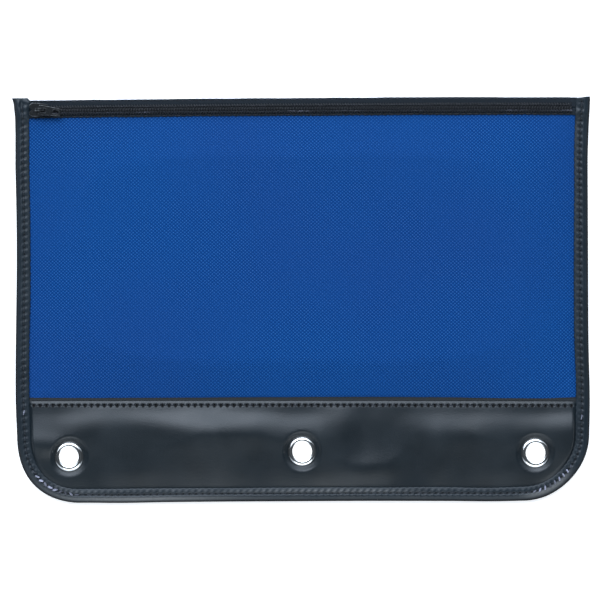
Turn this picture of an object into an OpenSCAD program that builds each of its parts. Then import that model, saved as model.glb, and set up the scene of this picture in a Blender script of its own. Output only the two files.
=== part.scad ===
// Zippered cash deposit bag with three ring-binder eyelets.
// Millimetres. The bag lies flat on its back: +X runs along the zipper, +Y towards
// the zipper edge, +Z up out of the front face. The origin is on the surface that
// the bag lies on, under the middle of the bag.

/* [Bag] */
// Width of the bag over the edge binding
bag_w = 266; // [240:1:300]
// Height of the bag from the bottom edge to the ends of the binding
bag_h = 187; // [170:1:220]
// Radius of the two bottom corners
corner_r = 30; // [20:1:40]
// How far the empty front wall stands up off the back wall
puff = 5.5; // [5:0.5:9]

/* [Materials] */
// Thickness of the woven wall fabric
fabric_t = 0.55; // [0.4:0.05:0.6]
// Thickness of the vinyl band sheets
vinyl_t = 0.75; // [0.6:0.05:0.8]
// Thickness of the binding tape
binding_t = 0.7; // [0.6:0.05:0.8]
// Thickness of the sewing thread
thread_d = 0.5; // [0.4:0.05:0.6]

/* [Binding and band] */
// Width of the binding that shows on each face
binding_w = 6.6; // [6:0.1:8]
// Thickness of the layers held between the two faces of the binding
seam_t = 2.15; // [2.1:0.05:2.4]
// Height of the vinyl band, bottom edge to the top of its folded edge
band_h = 46.1; // [42:0.1:60]
// Width of the facing strip that shows above the folded edge
facing_w = 1.8; // [1.5:0.1:3]
// Length of one stitch, hole to hole
stitch_pitch = 3; // [2.5:0.1:4]

/* [Eyelets] */
// Distance between eyelets, which is the pitch of a three-ring binder
eyelet_pitch = 107.95; // [100:0.05:108]
// Radius of the hole through an eyelet
eyelet_hole_r = 4.4; // [4:0.1:4.6]
// Radius of an eyelet's front flange
eyelet_flange_r = 7.1; // [6.8:0.1:8]
// Height of the eyelets above the bottom edge, left, middle and right
eyelet_rise = [21.3, 23.3, 22.1];

/* [Zipper] */
// Distance from the top fold to the centre line of the zipper chain
chain_inset = 4.8; // [4.7:0.1:6]
// Pitch of the coil elements on one tape
coil_pitch = 1.25; // [1.2:0.05:1.5]
// Length of the slider body
slider_len = 8.6; // [8:0.1:9]
// Width of the slider body over its shoulders
slider_w = 6.4; // [6.2:0.1:6.6]
// Length of the pull tab from its pivot
tab_len = 10; // [9:0.5:14]

/* [Hidden] */
$fn = 48;
eps = 1;             // how far a cutter runs past the face that it cuts
touch = 0.05;        // gap between layers that lie on each other
run_gap = 0.3;       // gap beside the wall that swings

half_w = bag_w / 2;
top_y = bag_h / 2;
bottom_y = -top_y;
binding_inner_x = half_w - binding_w;

// Heights of the layers at the edge of the bag
back_z = binding_t;                          // underside of the back sheets
front_inner_z = back_z + seam_t;             // underside of the binding's front face
binding_top_z = front_inner_z + binding_t;
band_z = front_inner_z - touch - vinyl_t;    // underside of the front band
band_top_z = band_z + vinyl_t;

// Vinyl band
band_top_y = bottom_y + band_h;
facing_top_y = band_top_y + facing_w;
bead_r = 0.75;
bead_y = band_top_y - bead_r;
band_stitch_y = band_top_y - 1.9;
band_edge_inset = 0.8;                       // gap between the band's edge and the fold of the binding
fabric_margin = 8;                           // fabric held under the top of the back band

// Zipper
fold_y = top_y - 0.5;                        // top fold of the back panel
chain_y = fold_y - chain_inset;
tape_half = 4;                               // chain centre line to the outer edge of a tape
tape_gap = 1.3;                              // chain centre line to the inner edge of a tape
tape_t = 0.45;
tape_z = back_z + 2.4;
tape_top_z = tape_z + tape_t;
tape_end_x = half_w - 1.5;
tape_stitch_inset = 0.35;
fold_r = (tape_z - touch - back_z) / 2;
coil_t = 1.4;
coil_half = 2.1;                             // chain centre line to the back of a coil
coil_reach = 0.5;                            // how far an element passes the centre line
coil_spine = 1.2;                            // width of the looped back of a coil
coil_tooth = 0.55;

// Slider, closed at the left end of the chain
slider_x = -binding_inner_x + run_gap + slider_len / 2 + 0.6;
slider_plate_t = 0.8;
slider_channel_z = tape_z - 0.25;
slider_roof_z = tape_top_z + coil_t + 0.15;
slider_top_z = slider_roof_z + slider_plate_t;
slider_post_len = 2.4;
slider_post_x = slider_x - slider_len / 2 + 0.5;
chain_start_x = slider_post_x + slider_post_len + 0.4;
pivot_x = slider_x + 0.6;
pivot_bar_r = 0.45;
pivot_hole_r = 0.6;
pivot_z = slider_top_z + 0.65;
bridge_half = 0.8;                           // half the bridge's width across the chain
bridge_reach = 2.1;                          // half the bridge's length along the chain
bridge_rise = 1.25;
tab_t = 0.9;
tab_arm_in = 1;
tab_w = 4.6;
tab_end_w = 3.6;

// End of the binding, folded over the end of the zipper
cap_y = chain_y - tape_half - 0.8;
cap_inner_z = tape_top_z + 0.1;
cap_top_z = cap_inner_z + binding_t;
cap_flare = 1;

// Front wall
panel_half_w = binding_inner_x - run_gap;
panel_bottom_y = facing_top_y + run_gap;
panel_top_y = chain_y - slider_w / 2 - 0.2;
panel_low_z = band_z;
panel_high_z = tape_z - touch - fabric_t;
panel_flat = 0.985;                          // share of the half-size beyond which the wall lies flat
panel_power = 4;
panel_cols = 26;
panel_rows = 16;

// The outline of the bag, moved inwards by inset and carried over past the top edge:
// square at the top, round at the bottom corners
module outline(inset, over = 0) {
    translate([-half_w + inset, bottom_y + corner_r])
        square([bag_w - 2 * inset, bag_h - corner_r + over]);
    translate([-half_w + corner_r, bottom_y + inset])
        square([bag_w - 2 * corner_r, corner_r]);
    for (side = [-1, 1])
        translate([side * (half_w - corner_r), bottom_y + corner_r])
            circle(r = corner_r - inset, $fn = 96);
}

module slab(z0, z1) {
    translate([0, 0, z0])
        linear_extrude(height = z1 - z0)
            children();
}

// One stitch lying along X, its thread resting on height z
module stitch_x(x, y, z) {
    translate([x - stitch_pitch * 0.38, y, z + thread_d / 2])
        rotate([0, 90, 0])
            cylinder(d = thread_d, h = stitch_pitch * 0.76, $fn = 16);
}

// A row of stitches from -reach to reach
module stitch_row(reach, y, z) {
    count = floor(2 * reach / stitch_pitch);
    for (i = [0:count - 1])
        stitch_x((i - (count - 1) / 2) * stitch_pitch, y, z);
}

// ---- Walls ----

// A profile in the Y-Z plane carried across the bag
module across(reach) {
    translate([-reach, 0, 0])
        rotate([90, 0, 90])
            linear_extrude(height = 2 * reach)
                children();
}

module back_panel() {
    color("royalblue")
        across(half_w - band_edge_inset) {
            // margin sewn on the inside of the back band
            translate([facing_top_y - fabric_margin, back_z + vinyl_t])
                square([fabric_margin + fabric_t, fabric_t]);
            // step down to the back wall
            translate([facing_top_y, back_z])
                square([fabric_t, vinyl_t + fabric_t]);
            // back wall
            translate([facing_top_y, back_z])
                square([fold_y - fold_r - facing_top_y, fabric_t]);
            // fold along the top edge
            translate([fold_y - fold_r, back_z + fold_r])
                intersection() {
                    difference() {
                        circle(r = fold_r);
                        circle(r = fold_r - fabric_t);
                    }
                    translate([0, -fold_r])
                        square([fold_r, 2 * fold_r]);
                }
        }
}

function bulge(t) = 1 - pow(min(1, abs(t) / panel_flat), panel_power);
function panel_z(u, v) = panel_low_z + (panel_high_z - panel_low_z) * (v + 1) / 2 + puff * bulge(u) * bulge(v);
// Rows and columns crowd towards the edges, where the wall curves most
function spread(i, n) = sin(90 * (2 * i / n - 1));

module front_panel() {
    mid_y = (panel_top_y + panel_bottom_y) / 2;
    half_h = (panel_top_y - panel_bottom_y) / 2;
    n = panel_cols + 1;
    layer = n * (panel_rows + 1);
    points = [
        for (t = [0, fabric_t], j = [0:panel_rows], i = [0:panel_cols])
            let (u = spread(i, panel_cols), v = spread(j, panel_rows))
                [u * panel_half_w, mid_y + v * half_h, panel_z(u, v) + t]
    ];
    faces = concat(
        [
            for (j = [0:panel_rows - 1], i = [0:panel_cols - 1])
                let (a = j * n + i)
                    each [
                        [a, a + 1, a + n + 1],
                        [a, a + n + 1, a + n],
                        [layer + a, layer + a + n + 1, layer + a + 1],
                        [layer + a, layer + a + n, layer + a + n + 1]
                    ]
        ],
        [
            for (i = [0:panel_cols - 1])
                let (a = i, b = panel_rows * n + i)
                    each [[a, a + layer, a + layer + 1, a + 1], [b, b + 1, b + layer + 1, b + layer]]
        ],
        [
            for (j = [0:panel_rows - 1])
                let (a = j * n, b = j * n + panel_cols)
                    each [[a, a + n, a + n + layer, a + layer], [b, b + layer, b + n + layer, b + n]]
        ]
    );
    color("royalblue")
        polyhedron(points = points, faces = faces);
}

// ---- Vinyl band ----

function eyelet_x(i) = (i - 1) * eyelet_pitch;
function eyelet_y(i) = bottom_y + eyelet_rise[i];
barrel_t = 0.5;

// The band's sheet, up to height y, with the three holes for the eyelet barrels
module band_sheet(y) {
    difference() {
        intersection() {
            outline(band_edge_inset);
            translate([-half_w, bottom_y])
                square([bag_w, y - bottom_y]);
        }
        for (i = [0:2])
            translate([eyelet_x(i), eyelet_y(i)])
                circle(r = eyelet_hole_r + barrel_t + 0.1);
    }
}

module back_band() {
    color([0.17, 0.20, 0.22])
        slab(back_z, back_z + vinyl_t)
            band_sheet(facing_top_y - touch);
}

module front_band() {
    color([0.17, 0.20, 0.22]) {
        slab(band_z, band_top_z)
            band_sheet(band_top_y);
        // the edge folded under, which stands up as a bead
        translate([-binding_inner_x + touch, bead_y, band_top_z])
            rotate([0, 90, 0])
                cylinder(r = bead_r, h = 2 * (binding_inner_x - touch));
    }
}

module band_facing() {
    color([0.12, 0.15, 0.17])
        translate([-half_w + band_edge_inset, band_top_y + 0.02, band_z])
            cube([bag_w - 2 * band_edge_inset, facing_w - 0.02, vinyl_t - 0.1]);
}

module band_stitching() {
    color("dimgray") {
        stitch_row(binding_inner_x - 0.8, band_stitch_y, band_top_z);
        stitch_row(binding_inner_x - 0.8, band_stitch_y, back_z - thread_d);
    }
}

// ---- Edge binding ----

stitch_inset = 3.9;
groove_half = 0.4;
groove_depth = thread_d + 0.02;

// One end of the binding, widened where it wraps the end of the zipper; side is -1 or 1
module cap_plan(side) {
    polygon([
        [side * binding_inner_x, cap_y],
        [side * half_w, cap_y],
        [side * (half_w + cap_flare), top_y],
        [side * binding_inner_x, top_y]
    ]);
}

module cap_hollow(side) {
    polygon([
        [side * (binding_inner_x - eps), cap_y + binding_t],
        [side * (half_w - binding_t), cap_y + binding_t],
        [side * (half_w - binding_t), top_y + eps],
        [side * (binding_inner_x - eps), top_y + eps]
    ]);
}

// The groove that the stitches sink into, from height z up to y = end_y on both sides
module stitch_groove(z, end_y) {
    slab(z, z + groove_depth + eps)
        intersection() {
            difference() {
                outline(stitch_inset - groove_half, eps);
                outline(stitch_inset + groove_half, 2 * eps);
            }
            translate([-half_w, bottom_y])
                square([bag_w, end_y - bottom_y]);
        }
}

module edge_binding() {
    color([0.16, 0.21, 0.24])
        difference() {
            union() {
                slab(0, binding_top_z)
                    difference() {
                        outline(0);
                        outline(binding_w, eps);
                    }
                for (side = [-1, 1])
                    slab(0, cap_top_z)
                        cap_plan(side);
            }
            // the layers of the bag run in between the two faces
            slab(back_z, front_inner_z)
                outline(binding_t, eps);
            for (side = [-1, 1])
                slab(back_z, cap_inner_z)
                    cap_hollow(side);
            stitch_groove(binding_top_z - groove_depth, cap_y);
            stitch_groove(-eps, top_y + eps);
        }
}

// Stitches round the edge in the groove, and on over the ends of the zipper
module binding_stitches(z, cap_z) {
    leg_bottom = bottom_y + corner_r;
    leg_count = floor((cap_y - leg_bottom) / stitch_pitch);
    cap_count = floor((top_y - cap_y) / stitch_pitch);
    bottom_reach = half_w - corner_r;
    bottom_count = floor(2 * bottom_reach / stitch_pitch);
    arc_r = corner_r - stitch_inset;
    arc_count = round(PI / 2 * arc_r / stitch_pitch);
    for (i = [0:bottom_count - 1])
        stitch_x((i - (bottom_count - 1) / 2) * stitch_pitch, bottom_y + stitch_inset, z);
    for (side = [-1, 1]) {
        for (i = [0:leg_count - 1])
            translate([side * (half_w - stitch_inset), leg_bottom + (i + 0.5) * stitch_pitch, 0])
                rotate([0, 0, 90])
                    stitch_x(0, 0, z);
        for (i = [0:cap_count - 1])
            translate([side * (half_w - stitch_inset), cap_y + (i + 0.5) * stitch_pitch, 0])
                rotate([0, 0, 90])
                    stitch_x(0, 0, cap_z);
        for (i = [0:arc_count - 1])
            translate([side * bottom_reach, leg_bottom, 0])
                rotate([0, 0, side * (i + 0.5) * 90 / arc_count])
                    stitch_x(0, -arc_r, z);
    }
}

module binding_stitching() {
    color("dimgray") {
        binding_stitches(binding_top_z - groove_depth + 0.01, cap_top_z + 0.01);
        binding_stitches(0, 0);
    }
}

// ---- Eyelets ----

roll_t = 0.3;
roll_r = eyelet_hole_r + 1.6;
washer_r = eyelet_flange_r - 0.1;
lip_r = 0.5;
dome_r = 2.6;

module eyelet(i) {
    flange_h = 1.15;
    inner = eyelet_hole_r;
    color("silver")
        translate([eyelet_x(i), eyelet_y(i), 0])
            rotate_extrude($fn = 96) {
                // barrel
                translate([inner, 0])
                    square([barrel_t, band_top_z + flange_h - lip_r]);
                // lip that rounds over into the flange
                intersection() {
                    translate([inner + lip_r, band_top_z + flange_h - lip_r])
                        circle(r = lip_r);
                    translate([inner, band_top_z])
                        square([lip_r, flange_h]);
                }
                // domed flange
                intersection() {
                    translate([inner + lip_r, band_top_z + flange_h - dome_r])
                        circle(r = dome_r);
                    translate([inner + lip_r, band_top_z])
                        square([eyelet_flange_r - inner - lip_r, flange_h]);
                }
                // barrel end rolled out over the washer
                translate([inner, 0])
                    square([roll_r - inner, roll_t]);
            }
}

module washer(i) {
    color("silver")
        translate([eyelet_x(i), eyelet_y(i), 0])
            rotate_extrude($fn = 96) {
                translate([eyelet_hole_r + barrel_t + 0.1, roll_t + 0.02])
                    square([washer_r - eyelet_hole_r - barrel_t - 0.1, back_z - roll_t - 0.04]);
                // rim turned towards the surface, outside the rolled end
                translate([roll_r + 0.1, 0.05])
                    square([washer_r - roll_r - 0.1, roll_t]);
            }
}

// ---- Zipper ----

// A tape on one side of the chain; side is 1 for the upper tape and -1 for the lower
module tape(side) {
    y = side > 0 ? chain_y + tape_gap : chain_y - tape_half;
    color([0.13, 0.14, 0.16])
        translate([-tape_end_x, y, tape_z])
            cube([2 * tape_end_x, tape_half - tape_gap, tape_t]);
}

// A coil seen flat: a looped back with elements that reach past the centre line
module coil(side) {
    end_x = binding_inner_x - 0.6;
    shift = side > 0 ? 0 : coil_pitch / 2;
    count = floor((end_x - chain_start_x - coil_pitch) / coil_pitch);
    teeth = [
        for (i = [0:count - 1])
            let (x = chain_start_x + 0.1 + shift + i * coil_pitch)
                each [
                    [x, coil_half - coil_spine],
                    [x, -coil_reach],
                    [x + coil_tooth, -coil_reach],
                    [x + coil_tooth, coil_half - coil_spine]
                ]
    ];
    color([0.10, 0.11, 0.12])
        translate([0, chain_y, tape_top_z])
            mirror([0, side > 0 ? 0 : 1, 0])
                linear_extrude(height = coil_t)
                    polygon(concat(
                        [[chain_start_x, coil_half - coil_spine]],
                        teeth,
                        [[end_x, coil_half - coil_spine], [end_x, coil_half], [chain_start_x, coil_half]]
                    ));
}

module tape_stitching(side) {
    color("dimgray")
        stitch_row(binding_inner_x - 0.8, chain_y + side * (tape_half - tape_stitch_inset), tape_top_z);
}

// ---- Slider and pull ----

// Plan of a slider plate: square shoulders at the closing end, narrower at the tail
module slider_plan(inset) {
    nose = -slider_len / 2;
    tail = slider_len / 2;
    w = slider_w / 2 - inset;
    polygon([
        [nose + 1.2, -w], [nose + 0.2, -w + 1], [nose, -1], [nose, 1], [nose + 0.2, w - 1], [nose + 1.2, w],
        [tail - 3, w], [tail - 0.4, w - 0.5], [tail, w - 1], [tail, -w + 1], [tail - 0.4, -w + 0.5], [tail - 3, -w]
    ]);
}

module slider_body() {
    flange_t = 0.8;
    color([0.12, 0.12, 0.13])
        translate([slider_x, chain_y, 0]) {
            slab(slider_channel_z - slider_plate_t, slider_channel_z)
                slider_plan(0);
            difference() {
                slab(tape_top_z + 0.1, slider_top_z)
                    slider_plan(0);
                // channel for the coils, open at both ends
                translate([-slider_len, -slider_w / 2 + flange_t, tape_top_z - eps])
                    cube([2 * slider_len, slider_w - 2 * flange_t, slider_roof_z - tape_top_z + eps]);
            }
            // post that joins the two plates and parts the coils
            translate([slider_post_x - slider_x, -1, slider_channel_z - 0.1])
                cube([slider_post_len, 2, slider_roof_z - slider_channel_z + 0.2]);
            // bridge that holds the pull tab
            translate([pivot_x - slider_x, bridge_half, 0])
                rotate([90, 0, 0])
                    linear_extrude(height = 2 * bridge_half)
                        difference() {
                            union() {
                                translate([0, pivot_z])
                                    intersection() {
                                        scale([bridge_reach / bridge_rise, 1])
                                            circle(r = bridge_rise);
                                        translate([-bridge_reach, 0])
                                            square([2 * bridge_reach, bridge_rise]);
                                    }
                                translate([-bridge_reach, slider_top_z - 0.1])
                                    square([2 * bridge_reach, pivot_z - slider_top_z + 0.1]);
                            }
                            translate([0, pivot_z])
                                circle(r = pivot_hole_r);
                        }
        }
}

module pull_tab() {
    arm_end = bridge_reach + 0.5;
    color([0.14, 0.14, 0.15])
        translate([pivot_x, chain_y, pivot_z]) {
            rotate([90, 0, 0])
                translate([0, 0, -tab_w / 2])
                    cylinder(r = pivot_bar_r, h = tab_w);
            slab(-tab_t / 2, tab_t / 2)
                difference() {
                    union() {
                        for (side = [-1, 1])
                            translate([0, side > 0 ? tab_arm_in : -tab_w / 2])
                                square([arm_end + 0.5, tab_w / 2 - tab_arm_in]);
                        polygon([
                            [arm_end, -tab_w / 2], [tab_len - 0.6, -tab_end_w / 2], [tab_len, -tab_end_w / 2 + 0.6],
                            [tab_len, tab_end_w / 2 - 0.6], [tab_len - 0.6, tab_end_w / 2], [arm_end, tab_w / 2]
                        ]);
                    }
                    translate([tab_len - 3.6, -0.95])
                        square([2.6, 1.9]);
                }
        }
}

back_panel();
back_band();
front_band();
band_facing();
edge_binding();
tape(1);  // upper_tape
coil(1);  // upper_coil
tape_stitching(1);  // upper_tape_stitching
band_stitching();
binding_stitching();
eyelet(0);  // eyelet_left
eyelet(1);  // eyelet_middle
eyelet(2);  // eyelet_right
washer(0);  // washer_left
washer(1);  // washer_middle
washer(2);  // washer_right
front_panel();
tape(-1);  // lower_tape
coil(-1);  // lower_coil
tape_stitching(-1);  // lower_tape_stitching
slider_body();
pull_tab();
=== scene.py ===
import math

import bpy
import numpy as np
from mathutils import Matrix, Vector


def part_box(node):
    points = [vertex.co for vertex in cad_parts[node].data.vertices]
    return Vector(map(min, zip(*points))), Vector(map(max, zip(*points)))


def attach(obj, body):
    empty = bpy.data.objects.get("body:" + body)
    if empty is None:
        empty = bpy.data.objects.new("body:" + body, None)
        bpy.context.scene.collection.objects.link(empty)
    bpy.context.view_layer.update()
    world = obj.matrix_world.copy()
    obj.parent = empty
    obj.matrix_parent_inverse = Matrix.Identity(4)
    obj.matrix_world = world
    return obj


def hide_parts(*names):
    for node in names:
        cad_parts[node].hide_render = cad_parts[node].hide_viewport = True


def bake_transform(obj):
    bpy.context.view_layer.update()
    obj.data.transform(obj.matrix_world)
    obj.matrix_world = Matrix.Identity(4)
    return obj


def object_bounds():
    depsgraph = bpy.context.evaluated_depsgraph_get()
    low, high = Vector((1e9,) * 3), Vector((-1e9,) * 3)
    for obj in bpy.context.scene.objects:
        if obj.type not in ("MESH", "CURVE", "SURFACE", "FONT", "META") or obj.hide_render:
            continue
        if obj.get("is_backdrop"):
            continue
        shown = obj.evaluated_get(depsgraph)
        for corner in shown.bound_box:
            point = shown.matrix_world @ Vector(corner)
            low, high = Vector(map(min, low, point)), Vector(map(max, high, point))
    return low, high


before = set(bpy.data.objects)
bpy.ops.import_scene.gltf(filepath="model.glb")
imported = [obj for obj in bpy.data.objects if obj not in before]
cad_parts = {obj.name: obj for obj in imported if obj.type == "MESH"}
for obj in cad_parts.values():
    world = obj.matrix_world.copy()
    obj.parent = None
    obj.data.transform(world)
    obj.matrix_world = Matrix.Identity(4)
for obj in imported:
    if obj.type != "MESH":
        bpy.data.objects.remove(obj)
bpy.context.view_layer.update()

MM = 0.001

# ---- places, in mm


def corners(node):
    """Low and high corner of a CAD node's box, in mm."""
    low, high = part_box(node)
    return np.array(low) / MM, np.array(high) / MM


_, band_high = corners("front_band")
binding_low, binding_high = corners("edge_binding")
facing_low, facing_high = corners("band_facing")
back_low, back_high = corners("back_panel")
upper_low, upper_high = corners("upper_tape")
_, lower_high = corners("lower_tape")
coil_low, coil_high = corners("upper_coil")
slider_low, slider_high = corners("slider_body")
tab_low, tab_high = corners("pull_tab")
eyelet_boxes = {side: corners("eyelet_" + side) for side in ("left", "middle", "right")}
EYELETS = [((low[0] + high[0]) / 2, (low[1] + high[1]) / 2) for low, high in eyelet_boxes.values()]

EDGE_IN = 0.8  # the band's edge to the fold of the binding
HALF_W = band_high[0] + EDGE_IN
BOTTOM, TOP = binding_low[1], binding_high[1]
CORNER_R = 30.0
BINDING_W = 6.6
INNER_X = HALF_W - BINDING_W
CHAIN_Y = (upper_low[1] + lower_high[1]) / 2
TAPE_Z0, TAPE_Z1 = upper_low[2], upper_high[2]
FACING_Y0, FACING_Y1 = facing_low[1], facing_high[1]
BAND_SEAM_Y = FACING_Y0 - 1.25
BAND_Z = facing_low[2] + 0.75
BACK_Z = 0.7
FABRIC_T, VINYL_T, FACING_T, TAPE_T = 0.5, 0.6, 0.45, 0.38
RIM_R = 7.2  # just outside an eyelet's rim
PITCH = 3.0  # of the stitches
COIL_PITCH = 1.25
TURN = 2 * math.pi

# ---- mesh helpers


def bell(x, centre, width):
    return np.exp(-(((x - centre) / width) ** 2))


def rise(x, start, length):
    """0 up to start, 1 from length further on, and straight in between."""
    return np.clip((x - start) / length, 0, 1)


def xyz(*values):
    return np.stack(np.broadcast_arrays(*values), -1)


def settle(points):
    """Moves points in mm from the drawn outline to the sewn one, which is never quite square: the sides
    pull in, the top edge is a shallow arch, and the right corner is cut a little rounder."""
    x, y, z = points.T
    left = 0.3 + 0.85 * bell(y, 25, 42) + 0.75 * bell(y, -66, 13) + 0.30 * rise(y, 62, 14)
    left = left - 0.35 * rise(y, 84, 8) ** 1.6
    right = -0.18 + 1.15 * rise(y, 64, 28) ** 1.3 + 0.45 * bell(y, -45, 17)
    near_left, near_right = (rise(side * x, 60, HALF_W - 60) ** 2 for side in (-1, 1))
    inset = HALF_W - 8.8
    corner = 0.45 * bell(np.hypot(x - inset, y - (BOTTOM + 8.8)), 0, 15)
    other = 0.75 * bell(np.hypot(x + inset, y - (BOTTOM + 8.8)), 0, 15)
    across = x / HALF_W
    rightward = np.clip(across, 0, 1)
    arch = 0.3 - 0.55 * across**2 + 0.15 * np.clip(across, -1, 0) + 0.52 * rightward - 0.32 * rightward**4
    arch = rise(y, 30, 55) ** 2 * arch
    sag = bell(y, BOTTOM, 14) * (0.3 * bell(x, -84, 15) + 0.3 * bell(x, 88, 15))
    above = y - BAND_SEAM_Y
    seam = bell(above, 0, np.where(above > 0, 45, 12)) * (0.2 + 0.0048 * x + 0.000012 * x**2)
    out = x + left * near_left + right * near_right - corner - 0.2 * other
    return xyz(out, y + arch + corner - other - sag - seam, z)


def new_object(name, data):
    obj = bpy.data.objects.new(name, data)
    bpy.context.scene.collection.objects.link(obj)
    return obj


def mesh_object(name, points, faces, uv=None, values=None, smooth=True, settled=True):
    """A mesh from points in mm. uv and values hold one entry for each point."""
    mesh = bpy.data.meshes.new(name)
    points = np.asarray(points, float).reshape(-1, 3)
    if settled:
        points = settle(points)
    mesh.from_pydata((points * MM).tolist(), [], [tuple(int(i) for i in f) for f in faces])
    mesh.update()
    if uv is not None:
        index = np.empty(len(mesh.loops), np.int32)
        mesh.loops.foreach_get("vertex_index", index)
        layer = mesh.uv_layers.new(name="UVMap")
        layer.data.foreach_set("uv", np.asarray(uv, np.float32).reshape(-1, 2)[index].ravel())
    for key, value in (values or {}).items():
        set_points(mesh, key, value)
    mesh.polygons.foreach_set("use_smooth", [smooth] * len(mesh.polygons))
    return new_object(name, mesh)


def set_points(mesh, key, value):
    """Stores one value for each point under the name that key gives."""
    attribute = mesh.attributes.new(key, "FLOAT", "POINT")
    attribute.data.foreach_set("value", np.asarray(value, np.float32).ravel())


def grid_faces(rows, cols, keep=None, wrap=False):
    """Quads of a grid. keep says which cells are made, and wrap joins the last column to the first."""
    r, c = np.meshgrid(np.arange(rows - 1), np.arange(cols if wrap else cols - 1), indexing="ij")
    nxt = (c + 1) % cols
    quads = np.stack([r * cols + c, r * cols + nxt, (r + 1) * cols + nxt, (r + 1) * cols + c], -1)
    return quads[keep] if keep is not None else quads.reshape(-1, 4)


def drop_loose(faces, *values):
    """Leaves out the points that no face uses. Each of values has one row for each point."""
    used, inverse = np.unique(faces, return_inverse=True)
    return [inverse.reshape(faces.shape)] + [v[used] for v in values]


def solidify(obj, thickness, offset):
    """Gives a sheet its thickness in mm and a sharp rim."""
    mesh = obj.data
    uses = np.zeros(len(mesh.edges), int)
    index = np.empty(len(mesh.loops), np.int32)
    mesh.loops.foreach_get("edge_index", index)
    np.add.at(uses, index, 1)
    sharp = mesh.attributes.get("sharp_edge") or mesh.attributes.new("sharp_edge", "BOOLEAN", "EDGE")
    sharp.data.foreach_set("value", uses == 1)
    m = obj.modifiers.new("thickness", "SOLIDIFY")
    m.thickness, m.offset, m.use_even_offset = thickness * MM, offset, False


def sheet_piece(name, x, y, z, uv, thickness, offset, keep=None, flip=False, **values):
    """A grid of points in mm as a sheet with thickness. keep says which of its cells are made."""
    points, uv, faces = xyz(x, y, z).reshape(-1, 3), xyz(*uv).reshape(-1, 2), grid_faces(*x.shape, keep)
    values = {key: np.ravel(value) for key, value in values.items()}
    if keep is not None:
        faces, points, uv, *kept = drop_loose(faces, points, uv, *values.values())
        values = dict(zip(values, kept))
    obj = mesh_object(name, points, faces[:, ::-1] if flip else faces, uv, values)
    solidify(obj, thickness, offset)
    return obj


def swept(xs, profile):
    """Each row of profile drawn out along xs: x and one grid for each column of profile."""
    return [np.meshgrid(xs, profile[:, 0])[0]] + [np.meshgrid(xs, column)[1] for column in profile.T]


def finish_piece(obj, material, body, replaces=(), half=0):
    """Gives the piece its material, attaches it to its body and hides the CAD parts that it replaces. A half
    piece,
    -1 or 1, only has its place baked into its points and is not attached to a body."""
    obj.data.materials.append(material)
    if half:
        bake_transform(obj)
    else:
        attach(obj, body)
    if replaces:
        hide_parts(*replaces)
    return obj


def smoothstep(a, b, x):
    t = np.clip((np.asarray(x, float) - a) / (b - a), 0, 1)
    return t * t * (3 - 2 * t)


def value_noise(x, y, scale, seed):
    """Smooth noise from -1 to 1 over points in mm, with features about scale mm across."""
    size = 64
    table = np.random.default_rng(seed).uniform(-1, 1, (size, size))
    u, v = np.asarray(x, float) / scale + 500, np.asarray(y, float) / scale + 500
    i, j = np.floor(u).astype(int), np.floor(v).astype(int)
    fu, fv = smoothstep(0, 1, u - i), smoothstep(0, 1, v - j)
    a, b = table[i % size, j % size], table[(i + 1) % size, j % size]
    c, d = table[i % size, (j + 1) % size], table[(i + 1) % size, (j + 1) % size]
    return (a * (1 - fu) + b * fu) * (1 - fv) + (c * (1 - fu) + d * fu) * fv


def sample_grid(xs, ys, field, x, y):
    """Catmull-Rom sampling of field[row of ys, column of xs], both evenly spaced."""

    def place(along, at):
        u = np.clip((at - along[0]) / (along[1] - along[0]), 0, len(along) - 1.000001)
        i = np.floor(u).astype(int)
        t = u - i
        weights = (-0.5 * t + t**2 - 0.5 * t**3, 1 - 2.5 * t**2 + 1.5 * t**3,
                   0.5 * t + 2 * t**2 - 1.5 * t**3, -0.5 * t**2 + 0.5 * t**3)
        return [(np.clip(i + k - 1, 0, len(along) - 1), w) for k, w in enumerate(weights)]

    out = np.zeros(np.broadcast(x, y).shape)
    for cols, wu in place(xs, x):
        for rows, wv in place(ys, y):
            out += wu * wv * field[rows, cols]
    return out


def tubes(name, paths, radii, sides, up, values=None):
    """One mesh of many capped tubes. paths is (tubes, points, 3) in mm, radii (points,), up the way that
    the first side faces. UV runs in mm along and round each tube."""
    paths = np.asarray(paths, float)
    n, k, _ = paths.shape
    radii = np.broadcast_to(np.asarray(radii, float), (n, k))
    tangent = np.gradient(paths, axis=1)
    tangent /= np.linalg.norm(tangent, axis=2, keepdims=True)
    up = np.broadcast_to(np.asarray(up, float), paths.shape)
    normal = up - (up * tangent).sum(2, keepdims=True) * tangent
    normal /= np.linalg.norm(normal, axis=2, keepdims=True)
    side = np.cross(tangent, normal)
    angle = np.arange(sides) / sides * 2 * math.pi
    c, s = np.cos(angle)[:, None], np.sin(angle)[:, None]
    points = paths[:, :, None] + (normal[:, :, None] * c + side[:, :, None] * s) * radii[:, :, None, None]
    steps = np.cumsum(np.linalg.norm(np.diff(paths, axis=1), axis=2), axis=1)
    length = np.concatenate([np.zeros((n, 1)), steps], axis=1)
    uv = xyz(length[:, :, None], angle[None, None] * radii.mean())
    per_tube = k * sides
    starts = np.arange(n) * per_tube
    faces = (grid_faces(k, sides, wrap=True)[None] + starts[:, None, None]).reshape(-1, 4).tolist()
    for first in starts:
        last = first + per_tube - sides
        faces += [list(range(first, first + sides))[::-1], list(range(last, last + sides))]
    extra = {key: np.repeat(np.asarray(v, float), per_tube) for key, v in (values or {}).items()}
    return mesh_object(name, points, faces, uv, extra)


# ---- materials


def shade(colour, factor):
    return tuple(factor * c for c in colour)


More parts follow.
